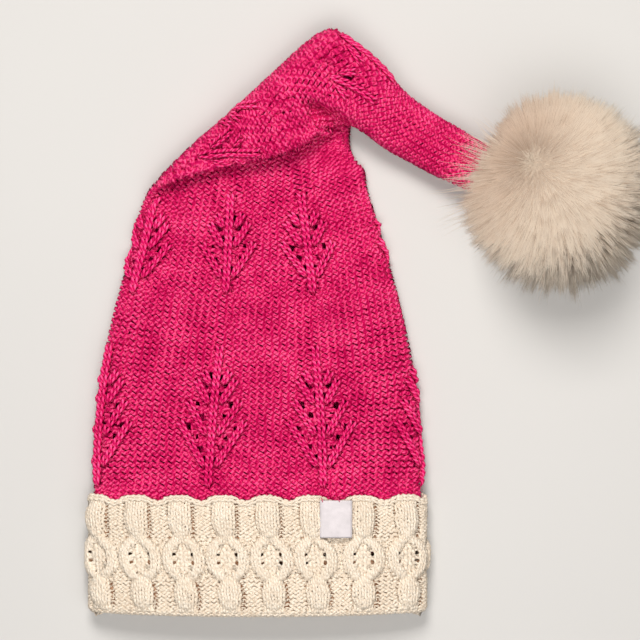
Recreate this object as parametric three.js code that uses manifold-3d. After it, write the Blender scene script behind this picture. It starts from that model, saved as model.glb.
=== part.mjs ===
import * as THREE from 'three';
import { mergeVertices } from 'three/addons/utils/BufferGeometryUtils.js';
import Module from 'manifold-3d';

// A knitted stocking hat lying on its back with the tail folded forward, in mm, +Z up.
// X runs across the cuff, Y from the cuff to the tail, the surface it lies on is Z = 0.

// Knit and gaps
const crownWall = 3.0;
const pieceGap = 0.35;
const edgeGap = 1.2;
const outerLeaf = 3.4;
const innerLeaf = 2.6;

// Crown drape, station by station from the hem to the tip
// along the spine, turn to the right in degrees, half width, loft, share resting on the surface, lift
const drapeColumns = { along: 0, turn: 1, halfWidth: 2, loft: 3, rest: 4, lift: 5 };
const drape = [
  [45, 0, 119.5, 27.0, 1.0, 3.7],
  [66, 0, 119.8, 26.5, 1.0, 1.2],
  [90, 0, 119.0, 26.0, 1.0, 0],
  [141, 0, 113.0, 24.0, 1.0, 0],
  [190, 0, 102.0, 21.0, 1.0, 0],
  [237, -1, 89.0, 18.0, 1.0, 0],
  [275, 1, 78.0, 16.0, 1.0, 0],
  [310, 12, 64.0, 15.0, 0.7, 0],
  [345, 4, 61.0, 15.0, 0.2, 2],
  [375, 6, 46.5, 17.0, 0, 4],
  [400, -10, 31.5, 18.0, 0, 2],
  [425, -31, 23.0, 21.0, 0, -3],
  [460, -23, 20.5, 22.0, 0, -10],
  [500, -24, 19.0, 21.0, 0, -8],
  [530, -27, 14.0, 18.0, 0, 2],
  [548, -27, 8.0, 10.0, 0, 10],
];
const tailLevel = 6;
const sectionPower = 2.4;

// The crease the crown is folded over: a point on it, its direction and the radius of the roll
const creaseX = -7.1;
const creaseY = 311.9;
const creaseAngle = THREE.MathUtils.degToRad(41);
const rollRadius = 9.5;

// Hollows pressed into the upper face: layer, middle, reach across and along, depth
const hollows = [
  { layer: 'over', x: 40, y: 314, across: 17, along: 8, turn: -8, depth: 6 },
  { layer: 'over', x: -24, y: 292, across: 28, along: 7, turn: 25, depth: 1.6 },
  { layer: 'under', x: 33, y: 180, across: 8, along: 34, turn: 0, depth: 2.6 },
  { layer: 'under', x: -24, y: 176, across: 8, along: 26, turn: 0, depth: 1.4 },
  { layer: 'under', x: 50, y: 65, across: 7, along: 7, turn: 0, depth: 2.2 },
];

// Crown mesh
const crownColumns = 44;
const bodyStations = [0, 45, 66, 92, 118, 144, 170, 196, 218, 236];
const foldStations = Array.from({ length: 17 }, (_, i) => 248 + 10 * i);
const tailStations = [420, 434, 450, 468, 488, 508, 526];
const innerStations = [...bodyStations, ...foldStations, ...tailStations, 536];
const outerStations = [...bodyStations, ...foldStations, ...tailStations, 540, 547];
const turnShare = 0.32;
const outerTip = 550;
const innerTip = 541;

// Cuff: sixteen repeats round, the valley that carries the label a little wider
const repeats = 16;
const columnsPerRepeat = 4;
const seamExtra = 7;
const firstBump = 37.3;
const cuffBottom = -41.5;
const bottomBow = 2.2;
// height along the cuff, relief on a bump, beside it and in the valley
const reliefColumns = { y: 0, bump: 1, side: 2, valley: 3 };
const relief = [
  [43.0, 0.3, 0.1, -0.4],
  [40.5, 1.5, 0.9, -0.1],
  [34.0, 2.3, 1.5, 0.0],
  [25.0, 2.6, 1.5, 0.0],
  [17.5, 1.6, 0.7, 0.2],
  [13.0, 0.7, 0.5, 0.4],
  [7.5, 1.2, 1.9, 0.4],
  [-2.5, 1.2, 2.7, 0.6],
  [-12.0, 1.2, 1.9, 0.4],
  [-18.0, 0.7, 0.5, 0.4],
  [-22.5, 2.0, 1.0, 0.1],
  [-28.0, 2.6, 1.5, 0.0],
  [-35.0, 1.6, 0.9, 0.0],
  [-39.5, -0.4, -0.8, -1.2],
];
const scallop = 5;
const slotBottom = -3;
const innerLeafTop = 36;

// Label
const labelWidth = 23;
const labelTop = 39.5;
const labelBottom = 11.5;
const labelSheet = 0.7;
const labelLift = 1.9;

// Pompom
const pompomMiddle = new THREE.Vector3(213.5, 261.8, 61);
const pompomValley = 62;
const lockLength = 11;
const locks = 90;
const lockSharpness = 5.5;
const ballDetail = 8;

// Smooth curve through one column of the drape table
function drapeAt(name, along) {
  const c = drapeColumns[name];
  const last = drape.length - 1;
  const s = THREE.MathUtils.clamp(along, drape[0][0], drape[last][0]);
  let i = 0;
  while (i < last - 1 && s > drape[i + 1][0]) i += 1;
  const slope = (n) => (drape[n + 1][c] - drape[n][c]) / (drape[n + 1][0] - drape[n][0]);
  const span = (n) => drape[n + 1][0] - drape[n][0];
  const tangent = (n) => {
    if (n === 0) return slope(0);
    if (n === last) return slope(last - 1);
    return (slope(n - 1) * span(n) + slope(n) * span(n - 1)) / (span(n - 1) + span(n));
  };
  const h = span(i);
  const t = (s - drape[i][0]) / h;
  const t2 = t * t;
  const t3 = t2 * t;
  return (2 * t3 - 3 * t2 + 1) * drape[i][c] + (t3 - 2 * t2 + t) * h * tangent(i)
    + (3 * t2 - 2 * t3) * drape[i + 1][c] + (t3 - t2) * h * tangent(i + 1);
}

// Spine of the unfolded crown, one point a millimetre
const spine = [{ x: 0, y: 0, turn: 0 }];
for (let s = 1; s <= outerTip; s += 1) {
  const before = spine[s - 1];
  const turn = THREE.MathUtils.degToRad(drapeAt('turn', s));
  spine.push({
    x: before.x + (Math.sin(turn) + Math.sin(before.turn)) / 2,
    y: before.y + (Math.cos(turn) + Math.cos(before.turn)) / 2,
    turn,
  });
}

function spineAt(along) {
  if (along <= 0) return { x: 0, y: along, turn: 0 };
  const i = Math.min(Math.floor(along), outerTip - 1);
  const t = along - i;
  const mix = (name) => spine[i][name] * (1 - t) + spine[i + 1][name] * t;
  return { x: mix('x'), y: mix('y'), turn: mix('turn') };
}

// Flattened section at a station, set in by a depth, from the middle of the top over the right edge:
// its points with the length walked and the angle turned so far
function sectionOutline(along, depth) {
  const loft = drapeAt('loft', along);
  const rest = THREE.MathUtils.clamp(drapeAt('rest', along), 0, 1);
  const halfWidth = drapeAt('halfWidth', along) - depth;
  const up = loft * (0.5 + 0.1 * rest) - depth;
  const down = loft * 0.5 - depth;
  const floor = loft * (0.5 - 0.1 * rest) - depth;
  const power = 2 / sectionPower;
  const steps = 720;
  const points = [];
  for (let i = 0; i <= steps; i += 1) {
    const angle = Math.PI / 2 - (2 * Math.PI * i) / steps;
    const c = Math.cos(angle);
    const s = Math.sin(angle);
    const u = halfWidth * Math.sign(c) * Math.abs(c) ** power;
    const q = Math.max((s > 0 ? up : down) * Math.sign(s) * Math.abs(s) ** power, -floor);
    points.push({ u, q, length: 0, turned: 0 });
  }
  for (let i = 1; i <= steps; i += 1) {
    const du = points[i].u - points[i - 1].u;
    const dq = points[i].q - points[i - 1].q;
    const before = points[Math.max(i - 2, 0)];
    const bend = Math.atan2(
      (points[i - 1].u - before.u) * dq - (points[i - 1].q - before.q) * du,
      (points[i - 1].u - before.u) * du + (points[i - 1].q - before.q) * dq,
    );
    points[i].length = points[i - 1].length + Math.hypot(du, dq);
    points[i].turned = points[i - 1].turned + Math.abs(bend);
  }
  return { points, up, floor };
}

// Point of an outline where a growing measure reaches a goal
function pointAt(points, measure, goal) {
  let i = 0;
  while (i < points.length - 2 && measure(points[i + 1]) < goal) i += 1;
  const span = measure(points[i + 1]) - measure(points[i]);
  const t = span > 1e-9 ? (goal - measure(points[i])) / span : 0;
  return {
    u: points[i].u * (1 - t) + points[i + 1].u * t,
    q: points[i].q * (1 - t) + points[i + 1].q * t,
  };
}

// Depth of the hollows at a place on one layer
function hollowAt(x, y, layer) {
  let depth = 0;
  hollows.forEach((h) => {
    if (h.layer !== layer) return;
    const turn = THREE.MathUtils.degToRad(h.turn);
    const a = ((x - h.x) * Math.cos(turn) + (y - h.y) * Math.sin(turn)) / h.across;
    const b = ((y - h.y) * Math.cos(turn) - (x - h.x) * Math.sin(turn)) / h.along;
    depth += h.depth * Math.exp(-(a * a + b * b) / 2);
  });
  return depth;
}

// A point of a section put on the spine and rolled over the crease
function lay(along, u, q, faceShare) {
  const at = spineAt(along);
  const loft = drapeAt('loft', along);
  const rest = THREE.MathUtils.clamp(drapeAt('rest', along), 0, 1);
  const middle = drapeAt('lift', along) + 0.4 * loft * rest + tailLevel * (1 - rest);
  const rx = at.x + u * Math.cos(at.turn) - creaseX;
  const ry = at.y - u * Math.sin(at.turn) - creaseY;
  const dx = Math.cos(creaseAngle);
  const dy = Math.sin(creaseAngle);
  const alongCrease = rx * dx + ry * dy;
  const past = ry * dx - rx * dy;
  const angle = THREE.MathUtils.clamp(past / rollRadius, 0, Math.PI);
  const beyond = Math.max(past - Math.PI * rollRadius, 0);
  const set = (height) => {
    const across = Math.min(past, 0) + (rollRadius - height) * Math.sin(angle) - beyond;
    return new THREE.Vector3(
      creaseX + alongCrease * dx - across * dy,
      creaseY + alongCrease * dy + across * dx,
      middle + rollRadius * (1 - Math.cos(angle)) + height * Math.cos(angle),
    );
  };
  const point = set(q);
  const over = angle > Math.PI / 2;
  const facing = over ? -faceShare : faceShare;
  if (facing <= 0) return point;
  const fade = over ? Math.cos(Math.PI - angle) : Math.cos(angle);
  const depth = hollowAt(point.x, point.y, over ? 'over' : 'under') * Math.min(1, 1.6 * facing) * fade;
  return set(q - (over ? -depth : depth));
}

// Lathe with its rows moved onto rings of points, one ring a profile row
function latheFromRings(rings, columns) {
  const profile = rings.map((ring, row) => new THREE.Vector2(ring.length === 1 ? 0 : 1, row));
  const geometry = new THREE.LatheGeometry(profile, columns);
  const position = geometry.attributes.position;
  for (let column = 0; column <= columns; column += 1) {
    rings.forEach((ring, row) => {
      const p = ring[ring.length === 1 ? 0 : column % columns];
      position.setXYZ(column * rings.length + row, p.x, p.y, p.z);
    });
  }
  return tidy(geometry);
}

function tidy(geometry) {
  geometry.deleteAttribute('normal');
  geometry.deleteAttribute('uv');
  const merged = mergeVertices(geometry, 1e-4);
  const position = merged.attributes.position;
  const index = merged.index.array;
  const kept = [];
  for (let i = 0; i < index.length; i += 3) {
    const [a, b, c] = [index[i], index[i + 1], index[i + 2]];
    if (a !== b && b !== c && c !== a) kept.push(a, b, c);
  }
  const out = new THREE.BufferGeometry();
  out.setAttribute('position', position);
  out.setIndex(kept);
  out.computeVertexNormals();
  return out;
}

// Columns of the crown stand closer where the section turns
function crownRing(along, depth) {
  const { points, up, floor } = sectionOutline(along, depth);
  const last = points[points.length - 1];
  const measure = (p) => (1 - turnShare) * (p.length / last.length) + turnShare * (p.turned / last.turned);
  return Array.from({ length: crownColumns }, (_, column) => {
    const { u, q } = pointAt(points, measure, column / crownColumns);
    return lay(along, u, q, q > 0 ? q / up : q / floor);
  });
}

function crownGeometry() {
  const rings = [[lay(innerTip, 0, 0, 0)]];
  innerStations.slice().reverse().forEach((s) => rings.push(crownRing(s, crownWall)));
  outerStations.forEach((s) => rings.push(crownRing(s, 0)));
  rings.push([lay(outerTip, 0, 0, 0)]);
  return latheFromRings(rings, crownColumns);
}

// Places of the cuff's columns round the ring, counted from the middle of the top
const cuffColumns = repeats * columnsPerRepeat;

function cuffPlace(column, length) {
  const step = (length - seamExtra) / cuffColumns;
  const widening = (column > 1 ? seamExtra / 2 : 0) + (column > 2 ? seamExtra / 2 : 0);
  return (firstBump + column * step + widening) % length;
}

function cuffRing(y, depthAt, yAt) {
  return Array.from({ length: cuffColumns }, (_, column) => {
    const { points } = sectionOutline(0, depthAt(column));
    const place = cuffPlace(column, points[points.length - 1].length);
    const { u, q } = pointAt(points, (p) => p.length, place);
    const bow = bottomBow * (1 - (u / 125) ** 2) * THREE.MathUtils.clamp((10 - y) / 50, 0, 1);
    const p = lay(yAt(column) - bow, u, q, 0);
    return p.setZ(Math.max(p.z, 0));
  });
}

// The slot round the hem opens a little at the two edges
function edgeShare(column) {
  const { points } = sectionOutline(0, 0);
  const { u } = pointAt(points, (p) => p.length, cuffPlace(column, points[points.length - 1].length));
  return Math.abs(u / 119.5) ** 4;
}

// Which part of the repeat a column stands on: bump, side or valley
function reliefAt(row, column) {
  const part = ['bump', 'side', 'valley', 'side'][column % columnsPerRepeat];
  return row[reliefColumns[part]];
}

function scallopAt(row, column) {
  const drop = [0, 0.35, 1, 0.35][column % columnsPerRepeat] * scallop;
  const fade = THREE.MathUtils.clamp((row[reliefColumns.y] - 20) / 23, 0, 1);
  return row[reliefColumns.y] - drop * fade;
}

function cuffGeometry() {
  const edge = Array.from({ length: cuffColumns }, (_, column) => edgeGap * edgeShare(column));
  const leafOutside = -pieceGap - outerLeaf;
  const liningInside = crownWall + pieceGap + innerLeaf;
  const leafInside = (column) => -pieceGap - edge[column];
  const liningOutside = (column) => crownWall + pieceGap + edge[column];
  const plain = (y, depth) => cuffRing(y, typeof depth === 'number' ? () => depth : depth, () => y);
  const rings = [];
  // up the outside of the outer leaf
  relief.slice().reverse().forEach((row) => {
    rings.push(cuffRing(row[0], (c) => leafOutside - reliefAt(row, c) + 1.2 * (row[0] < -39 ? 1 : 0),
      (c) => scallopAt(row, c)));
  });
  // down its inside, under the hem and up behind it
  rings.push(cuffRing(42, leafInside, (c) => scallopAt(relief[0], c) - 0.6));
  rings.push(plain(18, leafInside));
  rings.push(plain(slotBottom, leafInside));
  rings.push(plain(slotBottom, liningOutside));
  rings.push(plain(16, liningOutside));
  rings.push(plain(innerLeafTop, liningOutside));
  // down the lining to the bottom fold
  rings.push(plain(innerLeafTop, liningInside));
  rings.push(plain(10, liningInside));
  rings.push(plain(-20, liningInside));
  rings.push(plain(cuffBottom + 2.5, liningInside - 0.4));
  rings.push(plain(cuffBottom, (liningInside + leafOutside) / 2 + 1.2));
  rings.push(plain(cuffBottom, (liningInside + leafOutside) / 2 - 1.6));
  rings.push(rings[0]);
  return latheFromRings(rings, cuffColumns);
}

// A folded strip hanging over the valley, its bottom a small loop
function labelGeometry() {
  const face = sectionOutline(0, -pieceGap - outerLeaf).points;
  const middle = cuffPlace(2, face[face.length - 1].length);
  const height = labelTop - labelBottom;
  const shape = new THREE.Shape();
  const loop = labelSheet + 0.45;
  shape.moveTo(0, 0);
  shape.lineTo(labelSheet, 0);
  shape.lineTo(labelSheet + 0.1, -height + loop);
  shape.quadraticCurveTo(loop, -height + 0.55, labelSheet + 0.75, -height + loop);
  shape.lineTo(labelSheet + 0.6, 0);
  shape.lineTo(2 * labelSheet + 0.6, 0);
  shape.lineTo(2 * labelSheet + 0.85, -height + loop);
  shape.quadraticCurveTo(loop + 0.2, -height - 1.1, 0.05, -height + loop);
  shape.closePath();
  const geometry = new THREE.ExtrudeGeometry(shape, {
    depth: labelWidth, steps: 4, bevelEnabled: false, curveSegments: 3,
  });
  const position = geometry.attributes.position;
  const depth = -pieceGap - outerLeaf - labelLift;
  for (let i = 0; i < position.count; i += 1) {
    const out = position.getX(i);
    const y = labelTop + position.getY(i);
    const across = labelWidth / 2 - position.getZ(i);
    const { points } = sectionOutline(0, depth - out);
    const { u, q } = pointAt(points, (place) => place.length, middle + across);
    const p = lay(y, u, q, 0);
    position.setXYZ(i, p.x, p.y, p.z);
  }
  return tidy(geometry);
}

// Fur ball in pointed locks, flattened where it lies, with a pit round the tail's end
function ballGeometry() {
  const geometry = new THREE.IcosahedronGeometry(1, ballDetail);
  const position = geometry.attributes.position;
  const golden = Math.PI * (3 - Math.sqrt(5));
  const tips = Array.from({ length: locks }, (_, i) => {
    const h = 1 - (2 * i + 1) / locks;
    const r = Math.sqrt(1 - h * h);
    return new THREE.Vector3(r * Math.cos(golden * i), r * Math.sin(golden * i), h);
  });
  const spread = Math.acos(1 - 2 / locks);
  const p = new THREE.Vector3();
  for (let i = 0; i < position.count; i += 1) {
    p.fromBufferAttribute(position, i).normalize();
    let nearest = Math.PI;
    tips.forEach((tip) => {
      nearest = Math.min(nearest, tip.angleTo(p));
    });
    const reach = pompomValley + lockLength * Math.exp(-((nearest / spread) ** 2) * lockSharpness / 4);
    p.multiplyScalar(reach).add(pompomMiddle);
    position.setXYZ(i, p.x, p.y, Math.max(p.z, 0));
  }
  return tidy(geometry);
}

// The tail's end a little larger all round
function tailCutter() {
  const clearance = -0.6;
  const rings = [[lay(440, 0, 0, 0)]];
  [440, 455, 470, 484, 500, 516, 530, 540, 549].forEach((s) => rings.push(crownRing(s, clearance)));
  const end = lay(outerTip, 0, 0, 0);
  const before = lay(outerTip - 4, 0, 0, 0);
  rings.push([end.clone().add(end.clone().sub(before).setLength(1.2))]);
  return latheFromRings(rings, crownColumns);
}

const wasm = await Module();
wasm.setup();

function solid(geometry) {
  return new wasm.Manifold(new wasm.Mesh({
    numProp: 3,
    vertProperties: new Float32Array(geometry.attributes.position.array),
    triVerts: new Uint32Array(geometry.index.array),
  }));
}

function fromSolid(body) {
  const mesh = body.getMesh();
  const geometry = new THREE.BufferGeometry();
  geometry.setAttribute('position', new THREE.BufferAttribute(mesh.vertProperties, 3));
  geometry.setIndex(new THREE.BufferAttribute(mesh.triVerts, 1));
  geometry.computeVertexNormals();
  return geometry;
}

function pompomGeometry() {
  return fromSolid(solid(ballGeometry()).subtract(solid(tailCutter())));
}

const hat = new THREE.Group();

function addPiece(name, geometry, color, roughness) {
  const material = new THREE.MeshStandardMaterial({ color, roughness, metalness: 0 });
  const mesh = new THREE.Mesh(geometry, material);
  mesh.name = name;
  hat.add(mesh);
}

addPiece('crown', crownGeometry(), new THREE.Color(0.73, 0.02, 0.115), 0.95);
addPiece('cuff', cuffGeometry(), new THREE.Color(0.87, 0.78, 0.61), 0.95);
addPiece('label', labelGeometry(), new THREE.Color(0.85, 0.85, 0.85), 0.8);
addPiece('pompom', pompomGeometry(), new THREE.Color(0.83, 0.74, 0.61), 1.0);

export default hat;
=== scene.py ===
import math
import bpy
import numpy as np
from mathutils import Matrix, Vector


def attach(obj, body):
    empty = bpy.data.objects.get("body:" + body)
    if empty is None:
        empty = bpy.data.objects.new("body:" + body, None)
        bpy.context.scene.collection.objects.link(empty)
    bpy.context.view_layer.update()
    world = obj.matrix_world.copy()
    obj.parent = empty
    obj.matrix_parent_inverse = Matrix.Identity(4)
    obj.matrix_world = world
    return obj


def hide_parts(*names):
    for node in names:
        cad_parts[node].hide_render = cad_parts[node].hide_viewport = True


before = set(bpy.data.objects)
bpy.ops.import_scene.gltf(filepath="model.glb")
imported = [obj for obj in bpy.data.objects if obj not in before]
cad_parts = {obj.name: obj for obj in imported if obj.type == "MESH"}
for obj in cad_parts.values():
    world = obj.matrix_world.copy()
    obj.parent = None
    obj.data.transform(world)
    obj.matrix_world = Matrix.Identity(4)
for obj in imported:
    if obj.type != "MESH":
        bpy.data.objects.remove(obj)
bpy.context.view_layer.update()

scene = bpy.context.scene
mm = 0.001
rng = np.random.default_rng(24)

# camera straight above the hat, as the photograph was taken
cameraSetup = {"middle": (45.3, 170.3), "level": 20.0, "distance": 1600.0, "field": 463.7, "sensor": 36.0}


def addCamera(setup):
    bpy.ops.object.select_all(action="DESELECT")
    x, y = setup["middle"]
    height = setup["level"] + setup["distance"]
    bpy.ops.object.camera_add(location=(x * mm, y * mm, height * mm), rotation=(0, 0, 0))
    eye = bpy.context.object
    eye.name = "photoCamera"
    eye.data.sensor_width = setup["sensor"]
    eye.data.lens = setup["sensor"] * setup["distance"] / setup["field"]
    eye.data.clip_start, eye.data.clip_end = 0.05, 20.0
    scene.camera = eye


addCamera(cameraSetup)
print("camera set")

# the draped hat, in mm: the solids' stations and crease, with the neck, the pocket and the tail finer
hatShape = {
    "sectionPower": 2.4, "restShift": 0.1, "tailLevel": 6.0, "tip": 550, "stationGap": 2.0, "shares": 480,
    "neck": (292, 17, 5.5),  # where the right edge swells beside the fold: along, reach, by how much
    "creaseX": -7.1, "creaseY": 311.9, "creaseAngle": 41.0, "rollRadius": 9.5, "slip": 50,
    "foldRest": 16.0, "foldRound": 3.0, "hollowFacing": 1.6,
    # along the spine, turn to the right, half width, loft, share resting, lift
    "drape": [
        [45, 0, 119.5, 27.0, 1.0, 3.7], [66, 0, 119.8, 26.5, 1.0, 1.2], [90, 0, 119.0, 26.0, 1.0, 0],
        [141, 0, 113.0, 24.0, 1.0, 0], [190, 0, 102.0, 21.0, 1.0, 0], [237, -1, 89.0, 18.0, 1.0, 0],
        [275, 1, 78.0, 16.0, 1.0, 0], [310, 12, 64.0, 15.0, 0.7, 0], [345, 4, 61.0, 15.0, 0.2, 2],
        [375, 6, 46.5, 17.0, 0, 4], [400, -10, 31.5, 18.0, 0, 2], [425, -31, 23.0, 21.0, 0, -3],
        [460, -23, 20.5, 22.0, 0, -10], [500, -20, 19.0, 21.0, 0, -8], [530, -14, 16.0, 18.0, 0, 2],
        [548, -12, 8.0, 10.0, 0, 10]],
    # 0 the body, 1 the face of the folded layer, 2 the whole folded layer; middle, reaches, turn, depth
    "hollows": [
        [1, 48, 317, 11, 4, -38, 19.0], [1, 40, 309, 8, 7, -10, 5.0], [2, 58, 307, 8, 5, -30, 13.0],
        [1, 42, 328, 16, 5, -20, -4.0], [1, -24, 292, 28, 7, 25, 1.6], [0, 33, 180, 8, 34, 0, 2.6],
        [0, -24, 176, 8, 26, 0, 1.4], [0, 50, 65, 7, 7, 0, 2.2]],
}
drape = np.array(hatShape["drape"], float)
turnRight, halfWidth, loftHigh, shareResting, liftUp = range(1, 6)  # columns of the drape


def unit(v):
    return v / np.maximum(np.linalg.norm(v, axis=-1, keepdims=True), 1e-9)


def summed(steps):
    return np.concatenate([[0], np.cumsum(steps)])


# the shorter way round a ring
def nearWay(distance, whole):
    return np.mod(distance + whole / 2, whole) - whole / 2


def lineAt(pair, t):
    return pair[0] + pair[1] * t


def joined(*lists):
    return tuple(np.concatenate(v) for v in lists)


def gridOf(rows, columns):
    return (g.ravel() for g in np.meshgrid(rows, columns, indexing="ij"))


def keepAbove(points, lowest):
    points[..., 2] = np.maximum(points[..., 2], lowest)


def report(stage, *pieces):
    print(stage, "triangles", [len(p.data.loops) - 2 * len(p.data.polygons) for p in pieces])


# smooth curve through a column of the drape
def drapeAt(column, along):
    x, y = drape[:, 0], drape[:, column]
    span = np.diff(x)
    slope = np.diff(y) / span
    inner = (slope[:-1] * span[1:] + slope[1:] * span[:-1]) / (span[:-1] + span[1:])
    tangent = np.concatenate([[slope[0]], inner, [slope[-1]]])
    s = np.clip(along, x[0], x[-1])
    i = np.clip(np.searchsorted(x, s, side="right") - 1, 0, len(x) - 2)
    h = span[i]
    t = (s - x[i]) / h
    return ((2 * t**3 - 3 * t**2 + 1) * y[i] + (t**3 - 2 * t**2 + t) * h * tangent[i]
            + (3 * t**2 - 2 * t**3) * y[i + 1] + (t**3 - t**2) * h * tangent[i + 1])


def loftAndRest(along):
    return drapeAt(loftHigh, along), np.clip(drapeAt(shareResting, along), 0, 1)


spineAlong = np.arange(0, hatShape["tip"] + 1.0)
spineTurn = np.radians(drapeAt(turnRight, spineAlong))
spineTurn[spineAlong < drape[0, 0]] = 0
spineX, spineY = (summed((part(spineTurn[1:]) + part(spineTurn[:-1])) / 2) for part in (np.sin, np.cos))


# outline of the flattened section, walked from the middle of the top over the right edge
def sectionOutline(along, depth, count=720):
    loft, rest = loftAndRest(along)
    shift = hatShape["restShift"] * rest
    up, down, floor = (loft * share - depth for share in (0.5 + shift, 0.5, 0.5 - shift))
    angle = math.pi / 2 - np.linspace(0, 2 * math.pi, count + 1)
    c, s = np.cos(angle), np.sin(angle)
    power = 2 / hatShape["sectionPower"]
    at, reach, extra = hatShape["neck"]
    width = drapeAt(halfWidth, along) - depth + extra * np.exp(-((along - at) / reach)**2) * (c > 0)
    u = width * np.sign(c) * np.abs(c)**power
    q = np.maximum(np.where(s > 0, up, down) * np.sign(s) * np.abs(s)**power, -floor)
    return u, q, summed(np.hypot(np.diff(u), np.diff(q))), up, floor


stationGap, shareCount = hatShape["stationGap"], hatShape["shares"]
stations = np.arange(0, hatShape["tip"] + stationGap, stationGap)
shareGrid = np.linspace(0, 1, shareCount + 1)


def ringAt(station):
    u, q, walked, up, floor = sectionOutline(station, 0.0)
    even = shareGrid * walked[-1]
    return np.interp(even, walked, u), np.interp(even, walked, q), walked[-1], up, floor


ringU, ringQ, ringLength, ringUp, ringFloor = (np.array(column) for column in zip(*map(ringAt, stations)))


# depth of the hollows pressed into the body and into the folded layer
def hollowAt(x, y, over, facing):
    depth = np.zeros_like(x)
    for layer, hx, hy, across, along, turn, most in hatShape["hollows"]:
        c, s = math.cos(math.radians(turn)), math.sin(math.radians(turn))
        a = ((x - hx) * c + (y - hy) * s) / across
        b = ((y - hy) * c - (x - hx) * s) / along
        dent = np.where(over == (layer > 0), most * np.exp(-(a * a + b * b) / 2), 0)
        depth += dent * (1 if layer == 2 else np.minimum(1, hatShape["hollowFacing"] * facing))
    return depth


# a point of a section set on the spine and rolled over the crease
def layPoints(along, u, q, face):
    loft, rest = loftAndRest(along)
    middle = drapeAt(liftUp, along) + (0.5 - hatShape["restShift"]) * loft * rest
    middle = middle + hatShape["tailLevel"] * (1 - rest)
    turn = np.interp(along, spineAlong, spineTurn)
    rx = np.interp(along, spineAlong, spineX) + u * np.cos(turn) - hatShape["creaseX"]
    ry = np.interp(along, spineAlong, spineY) + np.minimum(along, 0) - u * np.sin(turn) - hatShape["creaseY"]
    radius, crease = hatShape["rollRadius"], math.radians(hatShape["creaseAngle"])
    dx, dy = math.cos(crease), math.sin(crease)
    run, past = rx * dx + ry * dy, ry * dx - rx * dy
    # the outer layer slips round the crease rather than stretching there
    outer, slip = np.maximum(-q, 0), hatShape["slip"]
    t = np.clip((past + slip) / (2 * slip + math.pi * radius), 0, 1)
    laid = past + math.pi * outer * t * t * (3 - 2 * t)
    rolled = np.where(laid < math.pi * (radius + outer), laid / (1 + outer / radius), laid - math.pi * outer)
    past = np.where(laid < 0, laid, rolled)
    angle = np.clip(past / radius, 0, math.pi)
    across = np.minimum(past, 0) + (radius - q) * np.sin(angle) - np.maximum(past - math.pi * radius, 0)
    x, y = hatShape["creaseX"] + run * dx - across * dy, hatShape["creaseY"] + run * dy + across * dx
    z = middle + radius * (1 - np.cos(angle)) + q * np.cos(angle)
    over = angle > math.pi / 2
    facing = np.maximum(np.where(over, -face, face), 0)
    depth = hollowAt(x, y, over, facing) * np.abs(np.cos(angle))
    lowest = hatShape["foldRest"] + hatShape["foldRound"] * facing  # where the folded layer meets the lower
    sunk = np.where(over & (depth > 0), np.maximum(z - depth, np.minimum(z, lowest)), z - depth)
    return np.stack([x, y, sunk], -1)


def perimeterAt(along):
    return np.interp(along, stations, ringLength)


def crownSurface(along, share):
    share = np.mod(share, 1.0)
    a = np.clip(along / stationGap, 0, len(stations) - 1.001)
    b = share * shareCount
    i, j = a.astype(int), np.minimum(b.astype(int), shareCount - 1)
    s, t = a - i, b - j

    def blend(grid):
        left, right = (grid[i, k] * (1 - s) + grid[i + 1, k] * s for k in (j, j + 1))
        return left * (1 - t) + right * t

    u, q = blend(ringU), blend(ringQ)
    up, floor = np.interp(along, stations, ringUp), np.interp(along, stations, ringFloor)
    return layPoints(along, u, q, np.where(q > 0, q / up, q / floor))


probe = 0.6  # mm stepped each way to find a normal


# points at a height over a surface, with its normals
def raised(surface, along, share, height, length):
    across = probe / length
    n = unit(np.cross(surface(along, share + across) - surface(along, share - across),
                      surface(along + probe, share) - surface(along - probe, share)))
    return surface(along, share) + n * np.asarray(height)[..., None], n


def onCrown(along, share, height):
    return raised(crownSurface, along, share, height, perimeterAt(along))


# how much the crown faces up, from -1 to 1
def facingUp(along, share):
    return onCrown(along, share, 0 * along)[1][:, 2]


# meshes from arrays of points in mm
def meshPiece(name, points, faces, uv=None):
    mesh = bpy.data.meshes.new(name)
    mesh.vertices.add(len(points))
    mesh.vertices.foreach_set("co", (np.asarray(points, float) * mm).ravel())
    mesh.loops.add(faces.size)
    mesh.loops.foreach_set("vertex_index", faces.astype(np.int32).ravel())
    mesh.polygons.add(len(faces))
    mesh.polygons.foreach_set("loop_start", np.arange(0, faces.size, faces.shape[1], dtype=np.int32))
    mesh.polygons.foreach_set("use_smooth", np.ones(len(faces), bool))
    if uv is not None:
        layer = mesh.uv_layers.new(name="strand")
        layer.data.foreach_set("uv", np.asarray(uv, np.float32).ravel())
    mesh.update(calc_edges=True)
    mesh.validate()
    piece = bpy.data.objects.new(name, mesh)
    scene.collection.objects.link(piece)
    return piece


strandSides, strandUnit = 4, 10  # sides of a strand, mm of it to one unit of its UV map


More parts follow.
